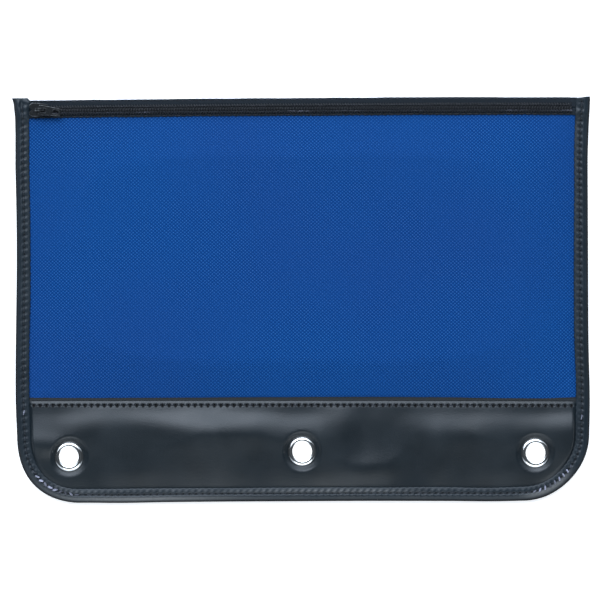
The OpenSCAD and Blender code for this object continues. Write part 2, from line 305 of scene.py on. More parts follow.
class Nodes:
    """Adds nodes to a material or to the world."""

    def __init__(self, holder, shader="Principled BSDF"):
        holder.use_nodes = True
        self.holder, self.tree = holder, holder.node_tree
        self.shader = self.tree.nodes[shader]

    def put(self, socket, value):
        if isinstance(value, bpy.types.NodeSocket):
            self.tree.links.new(value, socket)
        else:
            socket.default_value = value

    def add(self, kind, values=(), **settings):
        node = self.tree.nodes.new(kind)
        for key, value in settings.items():
            setattr(node, key, value)
        for slot, value in dict(values).items():
            self.put(node.inputs[slot], value)
        return node

    def math(self, operation, a, b=0.0, c=0.0):
        return self.add("ShaderNodeMath", {0: a, 1: b, 2: c}, operation=operation).outputs[0]

    def sine(self, value, rate):
        return self.math("SINE", self.math("MULTIPLY", value, rate))

    def point(self, name):
        """The point value of that name."""
        return self.add("ShaderNodeAttribute", attribute_name=name).outputs["Fac"]

    def uv(self):
        return self.add("ShaderNodeUVMap", uv_map="UVMap").outputs[0]

    def axes(self, vector):
        return self.add("ShaderNodeSeparateXYZ", {0: vector}).outputs

    def noise(self, scale, detail=3.0, rough=0.5, vector=None):
        """Noise from 0 to 1, with scale features in each millimetre of UV."""
        values = {"Vector": vector or self.uv(), "Scale": scale, "Detail": detail, "Roughness": rough}
        return self.add("ShaderNodeTexNoise", values).outputs[0]

    def ramp(self, value, low, high, out_low=0.0, out_high=1.0):
        return self.add("ShaderNodeMapRange", {0: value, 1: low, 2: high, 3: out_low, 4: out_high}).outputs[0]

    def colours(self, factor, a, b):
        node = self.add("ShaderNodeMix", {0: factor}, data_type="RGBA")
        for index, colour in ((6, a), (7, b)):
            self.put(node.inputs[index], (*colour, 1.0) if isinstance(colour, tuple) else colour)
        return node.outputs[2]

    def bump(self, height, distance, strength=1.0):
        values = {"Height": height, "Distance": distance * MM, "Strength": strength}
        return self.add("ShaderNodeBump", values).outputs[0]

    def set(self, **values):
        for key, value in values.items():
            self.put(self.shader.inputs[key.replace("_", " ")], value)
        return self.holder

    def surface(self, base, rough, normal, gloss=0.5, **values):
        return self.set(Base_Color=base, Roughness=rough, Normal=normal, Specular_IOR_Level=gloss, **values)


def material_nodes(name):
    return Nodes(bpy.data.materials.new(name))


def woven_nylon(name, light, dark, pitch):
    """Coarse plain weave. UV is in mm, so that the yarns stay on the cloth as it bends."""
    n = material_nodes(name)
    u, v, _ = n.axes(n.uv())
    wobble = n.math("MULTIPLY_ADD", n.noise(0.35, 2.0), 0.5, -0.25)
    across, along = (n.sine(n.math("ADD", way, wobble), math.pi / p) for way, p in zip((u, v), pitch))
    product = n.math("MULTIPLY", across, along)
    crown = n.math("POWER", n.math("ABSOLUTE", product), 0.55)
    yarn = n.noise(1.6, 2.0)
    broad = n.noise(0.022, 2.0)
    # the warp shows more clearly in some places than in others
    clear = n.ramp(broad, 0.35, 0.60, 0.55, 1.0)
    warp_up = n.math("MULTIPLY_ADD", n.math("SUBTRACT", n.ramp(product, -0.75, 0.85), 0.5), clear, 0.5)
    base = n.colours(warp_up, dark, light)
    # painted glints: the crowns of some warp yarns are painted pale, as highlights
    glint = n.math("MULTIPLY", n.ramp(product, 0.45, 1.0), n.ramp(yarn, 0.38, 0.64, 0.2, 1.0))
    glint = n.math("MULTIPLY", glint, clear)
    bright = (light[0] * 6.0, light[1] * 2.0, light[2] * 1.4)
    base = n.colours(n.math("MULTIPLY", glint, 0.65), base, bright)
    # painted shade in the gaps between the yarns
    gap_shade = n.math("MULTIPLY", n.ramp(crown, 0.0, 0.5, 0.45, 0.0), clear)
    base = n.colours(gap_shade, base, shade(dark, 0.4))
    # the dye leans a little to violet or to green over broad patches
    lean = n.colours(n.ramp(n.noise(0.011, 1.0), 0.35, 0.65), (1.12, 0.95, 0.97), (0.86, 1.06, 1.04))
    tint = n.add("ShaderNodeMix", {0: 1.0, 6: base, 7: lean}, data_type="RGBA", blend_type="MULTIPLY")
    fibres = n.noise(9.0, 2.0)
    normal = n.bump(n.math("MULTIPLY_ADD", fibres, 0.18, crown), 0.12, 0.6)
    rough = n.ramp(fibres, 0.3, 0.7, 0.55, 0.72)
    sheen = {"Sheen_Weight": 0.02, "Sheen_Roughness": 0.4, "Sheen_Tint": (0.25, 0.5, 1.0, 1.0)}
    return n.surface(tint.outputs[2], rough, normal, 0.03, **sheen)


def vinyl(name, colour, rough_low, rough_high, grain, grain_depth, gloss):
    """Coated vinyl with a fine pressed grain, soft blotches and a few scuffs."""
    n = material_nodes(name)
    cells = {"Vector": n.uv(), "Scale": grain, "Smoothness": 0.6}
    pebbles = n.add("ShaderNodeTexVoronoi", cells, feature="SMOOTH_F1")
    fine = n.noise(grain * 2.2)
    height = n.math("MULTIPLY_ADD", fine, 0.4, pebbles.outputs[0])
    blotch = n.noise(0.06)
    scuff = n.ramp(n.noise(0.5, 6.0, 0.7), 0.66, 0.74)
    rough = n.math("ADD", n.ramp(blotch, 0.3, 0.7, rough_low, rough_high), n.math("MULTIPLY", scuff, 0.12))
    base = n.colours(n.ramp(blotch, 0.35, 0.65), colour, shade(colour, 1.25))
    base = n.colours(n.math("MULTIPLY", scuff, 0.25), base, shade(colour, 2.2))
    # the point value read here, 0 to 1, is painted shade: needle holes, a line along the binding's outer fold
    # and the facing strip are painted near black, as the shade in them
    pit = n.point("pit")
    base = n.colours(pit, base, (0.001, 0.001, 0.0015))
    rough = n.math("MULTIPLY_ADD", pit, 0.6, rough)
    # the point value read here, 0 to 1, is a painted highlight: where it is high the surface is painted paler
    # grey, as a sheen
    wear_and_sheen = n.math("MULTIPLY", n.point("wear_and_sheen"), n.ramp(n.noise(0.8, 4.0), 0.3, 0.7, 0.8, 1.1))
    base = n.colours(wear_and_sheen, base, (0.150, 0.152, 0.152))
    return n.surface(base, rough, n.bump(height, grain_depth, 0.5), gloss)


def woven_tape(name, colour):
    """Zipper tape: fine ribs along the tape, crossed by a twill."""
    n = material_nodes(name)
    u, v, _ = n.axes(n.uv())
    rib = n.sine(v, TURN / 0.62)
    twill = n.sine(n.math("ADD", u, n.math("MULTIPLY", v, 0.6)), TURN / 0.5)
    height = n.math("MULTIPLY_ADD", rib, 0.5, n.math("MULTIPLY", twill, 0.35))
    spread = n.noise(1.2)
    base = n.colours(n.ramp(height, -0.6, 0.8), shade(colour, 0.55), shade(colour, 1.5))
    base = n.colours(n.ramp(spread, 0.4, 0.8, 0.0, 0.4), base, shade(colour, 2.0))
    return n.surface(base, 0.75, n.bump(height, 0.08, 0.8), 0.22, Sheen_Weight=0.04)


def thread_material(name, colour, glint_colour):
    """Twisted sewing thread. Its point value, 0 to 1, is how far it is painted pale: a little random tone,
    and painted glints where it catches the light.
    """
    n = material_nodes(name)
    u, v, _ = n.axes(n.uv())
    ply = n.sine(n.math("ADD", u, n.math("MULTIPLY", v, 1.4)), TURN / 0.55)
    tone_and_glint = n.point("tone_and_glint")
    base = n.colours(n.ramp(ply, -0.8, 0.8, 0.0, 0.5), colour, shade(colour, 1.8))
    base = n.colours(tone_and_glint, base, glint_colour)
    return n.surface(base, 0.42, n.bump(ply, 0.05, 0.8), 0.4, Sheen_Weight=0.03)


def coil_material(name):
    """Black nylon filament, a little streaky."""
    n = material_nodes(name)
    streak = n.noise(1.5, 2.0)
    base = n.colours(n.ramp(streak, 0.35, 0.7), (0.006, 0.007, 0.009), (0.014, 0.016, 0.020))
    return n.surface(base, n.ramp(streak, 0.3, 0.7, 0.28, 0.45), n.bump(streak, 0.03, 0.3))


def plated(name, colour, low, high):
    """Bright plating with faint turning marks and fine scratches."""
    n = material_nodes(name)
    coordinates = n.add("ShaderNodeTexCoord").outputs["Object"]
    smear = n.noise(260.0, 4.0, 0.6, coordinates)
    scratch = n.noise(2600.0, 2.0, 0.6, coordinates)
    rough = n.ramp(smear, 0.35, 0.7, low, high)
    base = n.colours(n.ramp(smear, 0.4, 0.8, 0.0, 0.35), colour, shade(colour, 0.8))
    return n.surface(base, rough, n.bump(scratch, 0.01, 0.25), Metallic=1.0)


def enamel(name, colour, metal):
    """Dark enamel on die-cast metal. The point value called wear, 0 to 1, is how much metal shows."""
    n = material_nodes(name)
    coordinates = n.add("ShaderNodeTexCoord").outputs["Object"]
    wear = n.point("wear")
    patch = n.noise(900.0, 4.0, 0.65, coordinates)
    wear_and_sheen = n.math("MULTIPLY", wear, n.ramp(patch, 0.40, 0.62, 0.1, 0.8))
    base = n.colours(wear_and_sheen, colour, metal)
    metallic, rough = n.math("MULTIPLY", wear_and_sheen, 0.8), n.ramp(patch, 0.3, 0.7, 0.22, 0.34)
    return n.surface(base, rough, n.bump(patch, 0.03, 0.4), 0.22, Metallic=metallic)


NYLON = woven_nylon("blue_nylon_weave", (0.0108, 0.080, 0.275), (0.0017, 0.030, 0.147), (0.847, 0.770))
VINYL = vinyl("black_vinyl_band", (0.0060, 0.0102, 0.0135), 0.34, 0.41, 2.6, 0.07, 0.46)
BINDING = vinyl("black_vinyl_binding", (0.0090, 0.0150, 0.0205), 0.35, 0.45, 3.2, 0.05, 0.34)
TAPE = woven_tape("black_zipper_tape", (0.0078, 0.0125, 0.0180))
THREAD = thread_material("black_thread", (0.0075, 0.010, 0.014), (0.62, 0.62, 0.78))
COIL = coil_material("nylon_coil")
NICKEL = plated("bright_nickel", (0.86, 0.85, 0.83), 0.06, 0.16)
ENAMEL = enamel("worn_black_enamel", (0.007, 0.008, 0.009), (0.36, 0.37, 0.38))

# ---- cloth simulation


def relax_sheet(name, xs, ys, height, pinned, growth, pressure, frames, bending=0.4):
    """Blows a flat sheet, held where pinned is true, up from height and returns its z in mm.
    growth is the share by which the cloth is larger than its outline."""
    # the solver is made for larger things than this bag
    scale, stiffness = 10.0, 8.0
    x, y = np.meshgrid(xs, ys)
    obj = mesh_object(name, xyz(x, y, height) * scale, grid_faces(*x.shape), settled=False)
    obj.vertex_groups.new(name="held").add(np.flatnonzero(pinned.ravel()).tolist(), 1.0, "REPLACE")
    m = obj.modifiers.new("cloth", "CLOTH")
    settings = {
        "quality": 6, "mass": 0.3, "tension_stiffness": stiffness, "compression_stiffness": stiffness,
        "shear_stiffness": stiffness * 0.6, "bending_stiffness": bending, "air_damping": 3,
        "vertex_group_mass": "held", "shrink_min": -growth, "use_pressure": True,
        "uniform_pressure_force": pressure,
    }
    for key, value in settings.items():
        setattr(m.settings, key, value)
    m.settings.effector_weights.gravity = 0
    m.collision_settings.use_collision = m.collision_settings.use_self_collision = False
    m.point_cache.frame_start, m.point_cache.frame_end = 1, frames
    scene = bpy.context.scene
    for f in range(1, frames + 1):
        scene.frame_set(f)
    evaluated = obj.evaluated_get(bpy.context.evaluated_depsgraph_get())
    result = np.empty(x.size * 3, np.float32)
    evaluated.data.vertices.foreach_get("co", result)
    bpy.data.objects.remove(obj, do_unlink=True)
    scene.frame_set(1)
    return result.reshape(*x.shape, 3)[:, :, 2] / (MM * scale)


def outline_depth(x, y):
    """How far a point lies inside the outline of the bag, in mm."""
    x = np.abs(x)
    cx, cy = HALF_W - CORNER_R, BOTTOM + CORNER_R
    straight = np.minimum(HALF_W - x, y - BOTTOM)
    return np.where((x > cx) & (y < cy), CORNER_R - np.hypot(x - cx, y - cy), straight)


def lookup(x, table):
    """Straight lines through a table of (x, value)."""
    return np.interp(x, *zip(*table))


def stepped(*pieces):
    """Coordinates from (start, end, step) pieces, each point once."""
    out = []
    for start, end, step in pieces:
        count = max(1, round(abs(end - start) / step))
        out.extend(start + (end - start) * i / count for i in range(count))
    return np.array(out + [pieces[-1][1]])


def run_along(profile):
    """The length along a profile up to each of its points."""
    return np.concatenate([[0], np.cumsum(np.hypot(*np.diff(profile, axis=0).T))])


def stitch_wave(s, width):
    """1 at the needle holes, falling off over width mm, along a seam of the usual pitch."""
    t = (s + PITCH / 2) % PITCH - PITCH / 2
    return bell(t, 0, width)


# ---- front wall

WALL_X = INNER_X + 2.5
WALL_Y0, WALL_Y1 = FACING_Y0 - 0.1, CHAIN_Y - 2.6
WALL_Z0, WALL_Z1 = BAND_Z - 0.6, TAPE_Z0 - 0.2


def wall_edge_z(y):
    """The height of the wall where it is held, from the band seam to the zipper."""
    return WALL_Z0 + (WALL_Z1 - WALL_Z0) * rise(y, WALL_Y0, WALL_Y1 - WALL_Y0)


def wall_shape():
    """(xs, ys, height) of the front wall as the cloth simulation leaves it."""
    xs = np.linspace(-WALL_X, WALL_X, 101)
    ys = np.linspace(WALL_Y0, WALL_Y1, 54)
    x, y = np.meshgrid(xs, ys)
    edge = wall_edge_z(y)
    middle_y, half_y = (FACING_Y1 + WALL_Y1 - 1.2) / 2, (WALL_Y1 - 1.2 - FACING_Y1) / 2
    u, v = x / INNER_X, (y - middle_y) / half_y
    dome = np.clip(1 - u**4, 0, 1) * np.clip(1 - v**4, 0, 1)
    crumple = 0.25 * value_noise(x, y, 34, 3) + 0.12 * value_noise(x, y, 15, 4)
    start = edge + dome * (3.6 + crumple)
    pinned = (np.abs(x) >= INNER_X - 0.5) | (y <= FACING_Y1 + 0.3) | (y >= WALL_Y1 - 1.4)
    z = relax_sheet("front_wall_sim", xs, ys, start, pinned, 0.003, 2.0, 24)
    return xs, ys, np.clip(z, edge - 0.1, edge + 5.0)


WALL_SIM = wall_shape()

# how many mm the facing's margin is cut narrower, at x in mm
FACING_TRIM = (
    (-118, 0.35), (-100, 0.5), (-50, 0.35), (5, 0.1), (30, 0.0), (60, 0.1), (90, 0.45), (110, 0.6),
    (124, 0.1),
)


def facing_trim(x):
    """How much the facing's margin is cut narrower, with a little unevenness."""
    return lookup(x, FACING_TRIM) + 0.04 * value_noise(x, 0 * x, 6, 51)


def wall_z(x, y):
    """Height of the front wall's outer face."""
    z = sample_grid(*WALL_SIM, x, y)
    z = np.where(np.abs(x) > INNER_X - 0.3, np.minimum(z, wall_edge_z(y)), z)
    # puckers where the seams hold the cloth
    for depth, along in ((INNER_X - 0.5 - np.abs(x), y), (y - FACING_Y1 - 0.8, x), (WALL_Y1 - 1.8 - y, x)):
        free = np.clip(depth, 0, 50) / 1.2
        z = z + 0.12 * np.cos(TURN * along / PITCH) * free * np.exp(1 - free) / 2
    # the margin lies under the facing
    clear = y - (FACING_Y0 + 2.6 - facing_trim(x))
    return np.minimum(z, BAND_Z - 0.25 + 0.9 * np.clip(clear, 0, 20))


def front_wall(side, label):
    """Half of the front wall, from the middle to one side seam."""
    xs = stepped((0, INNER_X - 6, 0.9), (INNER_X - 6, WALL_X, 0.5))
    xs = xs if side > 0 else -xs[::-1]
    ys = stepped((WALL_Y0, WALL_Y0 + 7, 0.5), (WALL_Y0 + 7, WALL_Y1 - 6, 1.2), (WALL_Y1 - 6, WALL_Y1, 0.5))
    x, y = np.meshgrid(xs, ys)
    return sheet_piece("front_wall_cloth_" + label, x, y, wall_z(x, y), (x, y), FABRIC_T, -1.0)


SIDES = (-1, "left"), (1, "right")

for side, label in SIDES:
    piece = finish_piece(front_wall(side, label), NYLON, "bag", ["front_panel"], side)

# ---- back wall


def back_wall():
    """The back wall in one sheet: its margin on the back band, the flat wall and the fold over the top
    edge."""
    fold_height = TAPE_Z0 - 0.05 - BACK_Z
    radius = fold_height / 2 - FABRIC_T / 2
    fold_y = back_high[1] - fold_height / 2
    mid = BACK_Z + FABRIC_T / 2
    profile = [(back_low[1], mid + 0.75), (FACING_Y1 - 2, mid + 0.75), (FACING_Y1 - 0.4, mid + 0.6)]
    profile += [(FACING_Y1 + 0.4, mid + 0.15), (FACING_Y1 + 1.5, mid)]
    profile += [(y, mid) for y in stepped((FACING_Y1 + 3, fold_y - 1, 2.4))]
    for a in np.linspace(0, math.pi, 11):
        profile.append((fold_y + radius * math.sin(a), mid + radius * (1 - math.cos(a))))
    profile += [(fold_y - 0.8, mid + 2 * radius), (CHAIN_Y + 2.4, mid + 2 * radius)]
    run = run_along(profile)
    xs = stepped((-HALF_W + EDGE_IN + 0.3, HALF_W - EDGE_IN - 0.3, 2.2))
    x, y, z, v = swept(xs, np.column_stack([profile, run]))
    flat = smoothstep(FACING_Y1 + 2, FACING_Y1 + 14, y) * smoothstep(fold_y - 1, fold_y - 12, y)
    flat = flat * smoothstep(INNER_X, INNER_X - 12, np.abs(x)) * (z < mid + 0.1)
    z = z + flat * (0.16 * value_noise(x, y, 40, 21) + 0.06 * value_noise(x, y, 14, 22) + 0.15)
    y = y + 0.03 * np.cos(TURN * x / PITCH) * smoothstep(fold_y, fold_y + radius, y)
    obj = sheet_piece("back_wall_cloth", x, y, z, (x, v), FABRIC_T, 0.0)
    finish_piece(obj, NYLON, "bag", ["back_panel"])


back_wall()

# ---- vinyl band

RIDGE_Y = FACING_Y0 - 0.05
BAND_Y0 = BOTTOM + 1.1
LIP_SLOPE = 0.31
# the soft waves: middle x and y in mm, direction in degrees, half length, half width, height in mm
BAND_WAVES = (
    (-120, -66.5, -6, 15, 5.0, 1.2),
    (-84, -82, 4, 20, 6.0, 0.45),
    (-30, -84, 0, 30, 6.0, 0.25),
    (30, -80, 6, 17, 9.0, 1.25),
    (60, -72, 80, 14, 6.0, 0.30),
    (90, -82, 10, 10, 5.0, 0.35),
)
# steepness and reach in mm below the seam, at x in mm
BAND_STEEP = (
    (-126, 0.42), (-116, 0.45), (-106, 0.64), (-96, 0.70), (-80, 0.72), (-66, 0.9), (-50, 1.25), (-40, 1.3),
    (-28, 1.05), (-8, 0.8), (9, 0.72), (18, 0.55), (28, 0.25), (42, 0.25), (54, 0.45), (64, 0.72), (82, 0.78),
    (99, 0.62), (110, 0.68), (122, 0.9),
)
BAND_REACH = (
    (-126, 17), (-108, 16), (-97, 13.5), (-86, 12), (-72, 12), (-46, 15), (-20, 15), (-8, 18), (9, 18),
    (24, 14), (44, 14), (62, 18), (76, 18), (94, 16), (112, 16.5), (124, 14),
)
# the share of the slope that starts right at the seam
BAND_EARLY = ((-126, 0.0), (-112, 0.15), (-93, 0.3), (-60, 0.15), (-38, 0.2), (-1, 0.0), (20, 0.3), (45, 0.0))
# how many mm above the binding it comes down
BAND_FOOT = (
    (-126, 15), (-98, 24), (-86, 16), (-70, 16), (-46, 26), (-20, 26), (9, 16), (24, 11), (40, 11), (54, 27),
    (76, 27), (94, 20), (124, 17),
)


def eyelet_depth(x, y):
    """Distance from the nearest eyelet's axis, in mm."""
    return np.min([np.hypot(x - ex, y - ey) for ex, ey in EYELETS], axis=0)


def band_shape():
    """(xs, ys, height) of the band: pillowed below its seam, pinned by the binding and the eyelets, with
    the long soft waves of a stiff sheet that has been folded and flattened."""
    xs = np.linspace(-INNER_X - 3, INNER_X + 3, 130)
    ys = np.linspace(BOTTOM + 2.6, BAND_SEAM_Y, 24)
    x, y = np.meshgrid(xs, ys)
    depth = outline_depth(x, y) - BINDING_W
    seam = BAND_SEAM_Y - y
    eyelet = eyelet_depth(x, y) - RIM_R
    # the slope below the seam: how steep it is along the bag, how far down it goes on, how soon it starts
    steep, reach, early = (lookup(x, table) for table in (BAND_STEEP, BAND_REACH, BAND_EARLY))
    fine = np.linspace(0, 1.1, 111)
    tail = 1 - smoothstep(0.42, 1.1, fine)
    slopes = tail, tail * smoothstep(0, 0.42, fine)
    at_once, later = (np.interp(seam / reach, fine, np.cumsum(slope) / 100) for slope in slopes)
    pillow = 0.36 * steep * reach * (early * at_once + (1 - early) * later)
    waves = 0.0
    for cx, cy, turn, long, wide, height in BAND_WAVES:
        c, s = math.cos(math.radians(turn)), math.sin(math.radians(turn))
        u, v = (x - cx) * c + (y - cy) * s, -(x - cx) * s + (y - cy) * c
        waves = waves + height * np.exp(-((u / long) ** 2) - (v / wide) ** 2)
    held = 1 - (1 - rise(y, BOTTOM + BINDING_W, lookup(x, BAND_FOOT))) ** 1.3
    start = BAND_Z + held * (pillow + waves * smoothstep(0, 10, seam))
    pinned = (depth <= 0.5) | (seam <= 0.5) | (eyelet <= 0.2)
    z = relax_sheet("front_band_sim", xs, ys, start, pinned, 0.001, 0.2, 5, bending=12.0)
    return xs, ys, np.clip(z, BAND_Z - 0.3, BAND_Z + 4.6)


BAND_SIM = band_shape()


def needle_pit(x, y, drop=0.05, width=0.5):
    """0 to 1 at the needle holes of the band's seam."""
    return stitch_wave(x + PITCH / 2, 0.70) * np.exp(-np.abs((y - BAND_SEAM_Y - drop) / width) ** 3)


def band_z(x, y):
    """Height of the front band's outer face."""
    z = sample_grid(*BAND_SIM, x, np.minimum(y, BAND_SEAM_Y))
    z = np.where(y < BAND_SIM[1][0], BAND_Z, z)
    rim = eyelet_depth(x, y) - RIM_R
    # pressed down sharply by the binding and by the eyelets
    press = smoothstep(-0.8, 1.4, outline_depth(x, y) - BINDING_W) * smoothstep(-0.6, 2.2, rim)
    z = BAND_Z + (z - BAND_Z) * press
    # the folded edge is a soft ridge that slopes down to the facing
    peak = BAND_SEAM_Y - 0.10
    ridge = np.where(y > peak, 0.92 - LIP_SLOPE * (y - peak), 0.92 * smoothstep(peak - 24, peak - 1, y))
    ripple = 0.05 * value_noise(x, 0 * x, 11, 45) - 0.06 * stitch_wave(x + PITCH / 2, 0.9)
    ripple = 1 + ripple * smoothstep(peak - 1.5, peak, y)
    z = z + ridge * ripple * smoothstep(INNER_X + 0.6, INNER_X - 1.6, np.abs(x))
    return z - 0.95 * needle_pit(x, y) - 0.12 * bell(rim, 0, 0.9)


def band_cells(x, y, hole):
    """Which cells of a grid lie on the band, more than hole mm from the eyelets' axes."""
    x, y = ((grid[1:, 1:] + grid[:-1, :-1]) / 2 for grid in (x, y))
    return (outline_depth(x, y) > 1.4) & (eyelet_depth(x, y) > hole)


def band_piece(name, xs, ys, shape, hole, offset, node):
    """One layer of the band and its flat size in m. shape(x, y) gives its height and its painted shade."""
    x, y = np.meshgrid(xs, ys)
    z, values = shape(x, y)
    obj = sheet_piece(name, x, y, z, (x, y), VINYL_T, offset, band_cells(x, y, hole), **values)
    finish_piece(obj, VINYL, "bag", [node])
    return obj, ((xs[-1] - xs[0]) * MM, (ys[-1] - ys[0]) * MM)


def front_shape(x, y):
    # the needle holes get painted shade
    return band_z(x, y), {"pit": smoothstep(0.2, 0.65, needle_pit(x, y, -0.25, 0.85))}


def back_shape(x, y):
    free = smoothstep(0, 10, outline_depth(x, y) - BINDING_W) * smoothstep(0, 10, eyelet_depth(x, y) - 7)
    z = BACK_Z + 0.1 + free * (0.18 * value_noise(x, y, 25, 41) + 0.1)
    return z + 0.2 * bell(y, BAND_SEAM_Y, 0.7), {}


xs = stepped((-HALF_W + 1.8, HALF_W - 1.8, 0.375))
ys = stepped((BAND_Y0, BAND_SEAM_Y - 4, 1.0), (BAND_SEAM_Y - 4, BAND_SEAM_Y - 1, 0.4),
             (BAND_SEAM_Y - 1, RIDGE_Y + 0.72, 0.17))
band_front = band_piece("front_band_skin", xs, ys, front_shape, 5.4, -1.0, "front_band")
xs = stepped((-HALF_W + 1.2, HALF_W - 1.2, 1.5))
ys = stepped((BAND_Y0, FACING_Y1 - 0.05, 1.2))
band_back = band_piece("back_band_skin", xs, ys, back_shape, 6.0, 1.0, "back_band")


def facing_strip():
    """The flat margin of the band that shows between the folded edge and the cloth."""
    xs = stepped((-HALF_W + 1.2, HALF_W - 1.2, 0.75))
    profile = np.array([
        (-0.35, -0.5), (-0.25, -0.08), (0.1, 0.0), (0.8, -0.02), (1.7, -0.02), (2.0, -0.05), (2.1, -0.35),
    ])
    x, across, dz = swept(xs, profile)
    y = FACING_Y0 + 0.55 + across - facing_trim(x) * (across > 1)
    # painted shade: the whole strip is painted darker, most along its edge next to the cloth
    pit = 0.35 + 0.3 * (across > 1.65)
    obj = sheet_piece("band_facing_strip", x, y, BAND_Z - 0.05 + dz, (x, y), FACING_T, -1.0, pit=pit)
    finish_piece(obj, VINYL, "bag", ["band_facing"])


facing_strip()

# ---- edge binding

LEG = TOP - (BOTTOM + CORNER_R)
ARC = math.pi / 2 * CORNER_R
RUN = 2 * (HALF_W - CORNER_R)
LENGTH = 2 * LEG + 2 * ARC + RUN


def along_edge(s, d):
    """The point d mm inside the outer edge at s mm along it, from the left end round the bottom to the
    right end."""
    s, d = np.broadcast_arrays(np.asarray(s, float), np.asarray(d, float))
    mirrored = s > LENGTH / 2
    t = np.where(mirrored, LENGTH - s, s)
    cx, cy = -(HALF_W - CORNER_R), BOTTOM + CORNER_R
    angle = math.pi + np.clip((t - LEG) / CORNER_R, 0, math.pi / 2)
    on_leg, on_run = t < LEG, t > LEG + ARC
    x = np.where(on_leg, -HALF_W + d, cx + (CORNER_R - d) * np.cos(angle))
    y = np.where(on_leg, TOP - t, cy + (CORNER_R - d) * np.sin(angle))
    x = np.where(on_run, cx + t - LEG - ARC, x)
    y = np.where(on_run, BOTTOM + d, y)
    return np.where(mirrored, -x, x), y


def cap_share(s):
    """1 over the zipper's end, 0 along the rest of the binding."""
    return smoothstep(11.5, 7.5, np.minimum(s, LENGTH - s))


CAP_RISE = 0.8
# how strongly the painted highlight pales the lip of the binding, at mm along the bottom from the middle
LIP_SHEEN = (
    (-125, 0.0), (-106, 0.4), (-85, 0.15), (-45, 0.3), (-10, 0.6), (17, 0.85), (38, 0.7), (58, 0.15),
    (90, 0.0),
)
HOLE_D, THREAD_D = 3.75, 3.8  # the needle holes and the thread, in mm inside the fold
FRONT_THREAD_Z, BACK_THREAD_Z = 3.33, 0.22
GLINT_STITCH_Y = -53.0  # one stitch at each side is painted pale, as a glint
# the tape's faces: mm inside the fold and height, from the back round the fold to the front
OUTER = [
    (6.55, 0.62), (6.6, 0.15), (6.0, 0.02), (4.6, 0.06), (3.9, 0.30), (3.2, 0.06), (2.0, 0.0), (1.0, 0.12),
    (0.4, 0.55), (0.08, 1.15), (0.0, 1.8), (0.08, 2.35), (0.35, 2.74), (0.8, 2.98), (1.4, 3.20), (2.0, 3.46),
    (2.6, 3.68), (2.95, 3.70), (3.3, 3.56), (3.7, 3.32), (4.1, 3.46), (4.5, 3.56), (5.2, 3.47), (5.8, 3.38),
    (6.25, 3.29), (6.52, 3.16), (6.56, 2.92),
]
INNER = [
    (6.45, 2.84), (4.5, 2.87), (2.4, 2.87), (1.3, 2.6), (0.8, 1.8), (1.3, 0.9), (2.4, 0.68), (4.5, 0.68),
]


